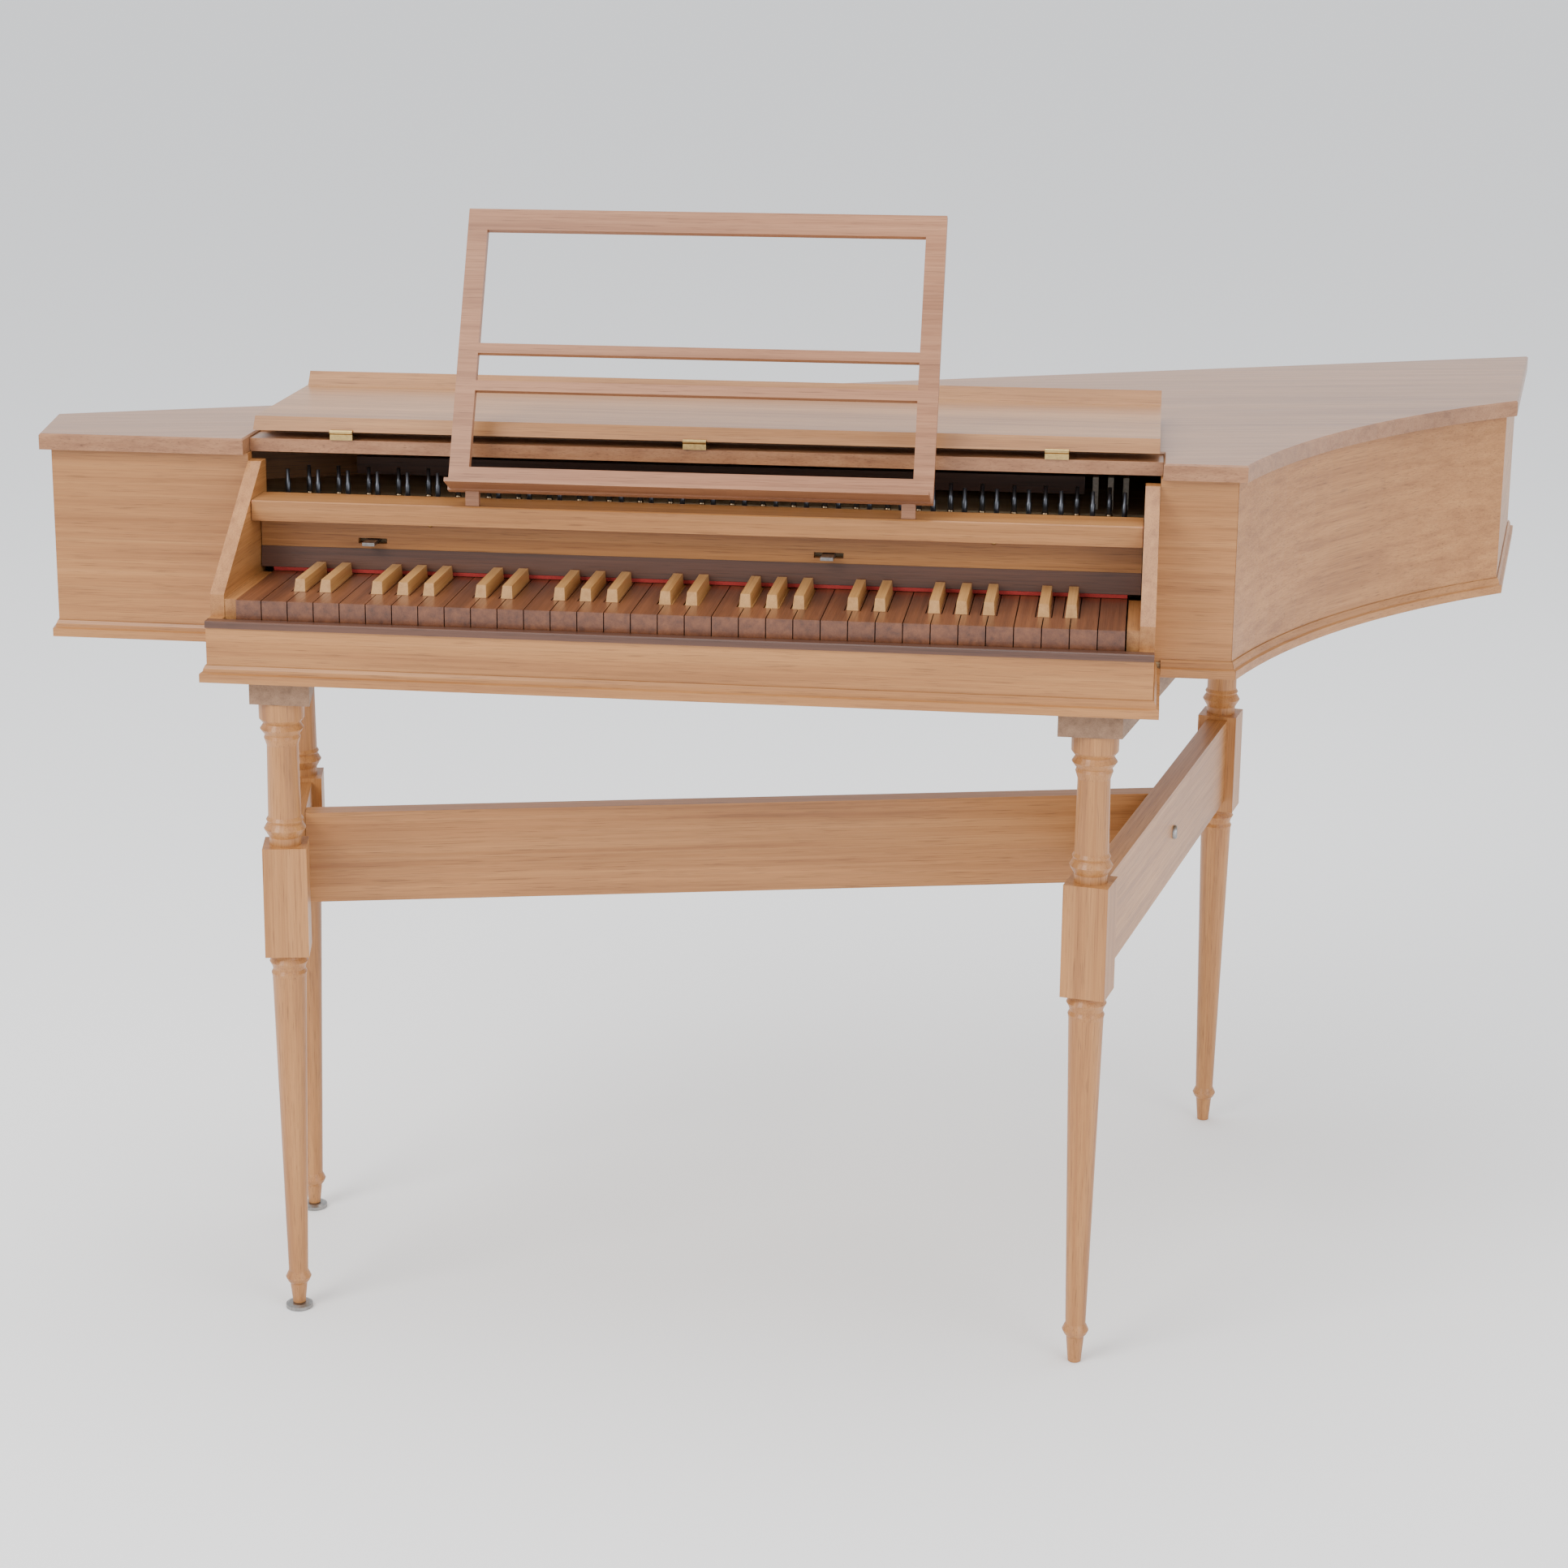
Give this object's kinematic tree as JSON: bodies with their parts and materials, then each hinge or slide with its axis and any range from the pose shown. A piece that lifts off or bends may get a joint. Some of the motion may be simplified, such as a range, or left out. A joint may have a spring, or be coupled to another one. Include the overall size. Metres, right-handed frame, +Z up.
{
  "type": "bentside spinet",
  "caption": "Small wing-shaped keyboard instrument with bentside case, hinged lid with front flap, dark naturals, pale sharps, open-frame music desk and turned-leg stand.",
  "frame": {"origin": "on the floor, below the middle of the keyboard's front line", "axes": "+X to the player's right along the keyboard, +Y from the player towards the spine, +Z up"},
  "size_m": [1.3877, 0.8367, 0.9791],
  "materials": {
    "oak": "waxed",
    "lid_oak": "polished",
    "rosewood": "oiled",
    "maple": "polished",
    "spruce": "planed",
    "brass": "worn",
    "steel": "dull",
    "bearer_oak": "sawn",
    "desk_oak": "waxed"
  },
  "bodies": {
    "case": {"batten": "oak", "bearer_left": "bearer_oak", "bearer_right": "bearer_oak", "bentside": "oak", "bottom_board": "spruce", "cheek_left": "oak", "cheek_right": "oak", "front_panel_left": "oak", "front_panel_right": "oak", "glide_back_left": "steel", "glide_front_left": "steel", "jack_rail": "rosewood", "key_frame": "spruce", "key_slip": "oak", "leg_back_left": "oak", "leg_back_right": "oak", "leg_front_left": "oak", "leg_front_right": "oak", "mould_bentside": "oak", "mould_left": "oak", "mould_right": "oak", "mould_slip": "oak", "mould_tail": "oak", "nameboard": "oak", "nameboard_strip": "rosewood", "side_left": "oak", "slip_cap": "rosewood", "soundboard": "spruce", "spine": "oak", "stretcher_left": "oak", "stretcher_long": "oak", "stretcher_right": "oak", "tail": "oak", "wrestplank": "spruce"},
    "lid": {"lid": "lid_oak", "lid_rail": "lid_oak", "flap_hinge_left": "brass", "flap_hinge_middle": "brass", "flap_hinge_right": "brass"},
    "flap": {"flap": "oak"},
    "desk": {"music_desk": "desk_oak"},
    "keys_bass": {"keys_bass": "rosewood"},
    "keys_treble": {"keys_treble": "rosewood"},
    "stop_left": {"stop_lever_left": "steel"},
    "stop_right": {"stop_lever_right": "steel"},
    "natural_16": {"natural_16": "rosewood"},
    "natural_17": {"natural_17": "rosewood"},
    "natural_18": {"natural_18": "rosewood"},
    "natural_19": {"natural_19": "rosewood"},
    "natural_20": {"natural_20": "rosewood"},
    "natural_21": {"natural_21": "rosewood"},
    "natural_22": {"natural_22": "rosewood"},
    "sharp_16": {"sharp_16": "maple"},
    "sharp_17": {"sharp_17": "maple"},
    "sharp_19": {"sharp_19": "maple"},
    "sharp_20": {"sharp_20": "maple"},
    "sharp_21": {"sharp_21": "maple"}
  },
  "joints": [
    {"name": "lid_hinge", "type": "hinge", "parent": "case", "child": "lid", "pos_m": [-0.603, 0.236, 0.766], "axis": [-0.9217, -0.3879, 0], "range_deg": [0, 95]},
    {"name": "flap_hinge", "type": "hinge", "parent": "lid", "child": "flap", "pos_m": [0, 0.1455, 0.785], "axis": [1, 0, 0], "range_deg": [0, 216.36]},
    {"name": "desk_lift", "type": "slide", "parent": "lid", "child": "desk", "axis": [0, 0, 1], "range_m": [0, 0.76]},
    {"name": "keys_bass_hinge", "type": "hinge", "parent": "case", "child": "keys_bass", "pos_m": [0, 0.185, 0.646], "axis": [1, 0, 0], "range_deg": [0, 1.5], "stiffness_Nm_per_rad": 45, "springref_deg": -1.15},
    {"name": "keys_treble_hinge", "type": "hinge", "parent": "case", "child": "keys_treble", "pos_m": [0, 0.185, 0.646], "axis": [1, 0, 0], "range_deg": [0, 1.5], "stiffness_Nm_per_rad": 33, "springref_deg": -1.15},
    {"name": "natural_16_hinge", "type": "hinge", "parent": "case", "child": "natural_16", "pos_m": [0, 0.185, 0.646], "axis": [1, 0, 0], "range_deg": [0, 1.5], "stiffness_Nm_per_rad": 3, "springref_deg": -1.15},
    {"name": "natural_17_hinge", "type": "hinge", "parent": "case", "child": "natural_17", "pos_m": [0, 0.185, 0.646], "axis": [1, 0, 0], "range_deg": [0, 1.5], "stiffness_Nm_per_rad": 3, "springref_deg": -1.15},
    {"name": "natural_18_hinge", "type": "hinge", "parent": "case", "child": "natural_18", "pos_m": [0, 0.185, 0.646], "axis": [1, 0, 0], "range_deg": [0, 1.5], "stiffness_Nm_per_rad": 3, "springref_deg": -1.15},
    {"name": "natural_19_hinge", "type": "hinge", "parent": "case", "child": "natural_19", "pos_m": [0, 0.185, 0.646], "axis": [1, 0, 0], "range_deg": [0, 1.5], "stiffness_Nm_per_rad": 3, "springref_deg": -1.15},
    {"name": "natural_20_hinge", "type": "hinge", "parent": "case", "child": "natural_20", "pos_m": [0, 0.185, 0.646], "axis": [1, 0, 0], "range_deg": [0, 1.5], "stiffness_Nm_per_rad": 3, "springref_deg": -1.15},
    {"name": "natural_21_hinge", "type": "hinge", "parent": "case", "child": "natural_21", "pos_m": [0, 0.185, 0.646], "axis": [1, 0, 0], "range_deg": [0, 1.5], "stiffness_Nm_per_rad": 3, "springref_deg": -1.15},
    {"name": "natural_22_hinge", "type": "hinge", "parent": "case", "child": "natural_22", "pos_m": [0, 0.185, 0.646], "axis": [1, 0, 0], "range_deg": [0, 1.5], "stiffness_Nm_per_rad": 3, "springref_deg": -1.15},
    {"name": "sharp_16_hinge", "type": "hinge", "parent": "case", "child": "sharp_16", "pos_m": [0, 0.185, 0.646], "axis": [1, 0, 0], "range_deg": [0, 1.5], "stiffness_Nm_per_rad": 3, "springref_deg": -1.15},
    {"name": "sharp_17_hinge", "type": "hinge", "parent": "case", "child": "sharp_17", "pos_m": [0, 0.185, 0.646], "axis": [1, 0, 0], "range_deg": [0, 1.5], "stiffness_Nm_per_rad": 3, "springref_deg": -1.15},
    {"name": "sharp_19_hinge", "type": "hinge", "parent": "case", "child": "sharp_19", "pos_m": [0, 0.185, 0.646], "axis": [1, 0, 0], "range_deg": [0, 1.5], "stiffness_Nm_per_rad": 3, "springref_deg": -1.15},
    {"name": "sharp_20_hinge", "type": "hinge", "parent": "case", "child": "sharp_20", "pos_m": [0, 0.185, 0.646], "axis": [1, 0, 0], "range_deg": [0, 1.5], "stiffness_Nm_per_rad": 3, "springref_deg": -1.15},
    {"name": "sharp_21_hinge", "type": "hinge", "parent": "case", "child": "sharp_21", "pos_m": [0, 0.185, 0.646], "axis": [1, 0, 0], "range_deg": [0, 1.5], "stiffness_Nm_per_rad": 3, "springref_deg": -1.15},
    {"name": "stop_left_slide", "type": "slide", "parent": "case", "child": "stop_left", "axis": [1, 0, 0], "range_m": [-0.006, 0.006]},
    {"name": "stop_right_slide", "type": "slide", "parent": "case", "child": "stop_right", "axis": [1, 0, 0], "range_m": [-0.006, 0.006]}
  ],
  "couplings": [
    {"joint": "desk_lift", "follows": "flap_hinge", "m_per_rad": 0.2}
  ]
}
